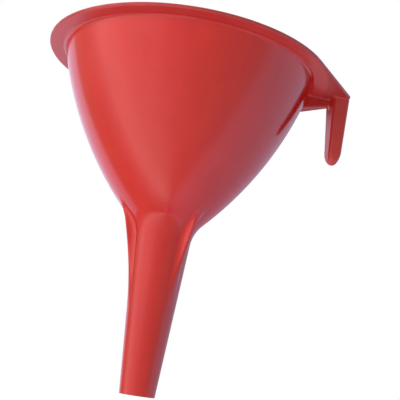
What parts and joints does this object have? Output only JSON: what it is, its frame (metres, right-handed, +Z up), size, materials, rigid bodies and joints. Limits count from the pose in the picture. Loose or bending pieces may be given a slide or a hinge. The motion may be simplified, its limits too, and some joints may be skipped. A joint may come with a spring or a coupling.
{
  "type": "funnel",
  "caption": "Round plastic hand funnel with a bulging bowl, flat rim flange, tapered stem, spacer fins at the neck and a hanging hook.",
  "frame": {"origin": "centre of the outlet's end face, at the bottom of the stem", "axes": "+Z up along the funnel's axis towards the open bowl, +X towards the hook, +Y to the left of the hook seen from the axis"},
  "size_m": [0.1753, 0.16, 0.186],
  "materials": {
    "moulded_plastic": "glossy red polyethylene, moulded in the colour"
  },
  "bodies": {
    "root": {"stem_outlet": "moulded_plastic", "stem": "moulded_plastic", "neck": "moulded_plastic", "lower_bowl": "moulded_plastic", "upper_bowl": "moulded_plastic", "rim_flange": "moulded_plastic", "rear_neck_fin": "moulded_plastic", "left_neck_fin": "moulded_plastic", "right_neck_fin": "moulded_plastic", "hook_tab": "moulded_plastic", "hook_web": "moulded_plastic", "hook_finger": "moulded_plastic"}
  },
  "joints": []
}
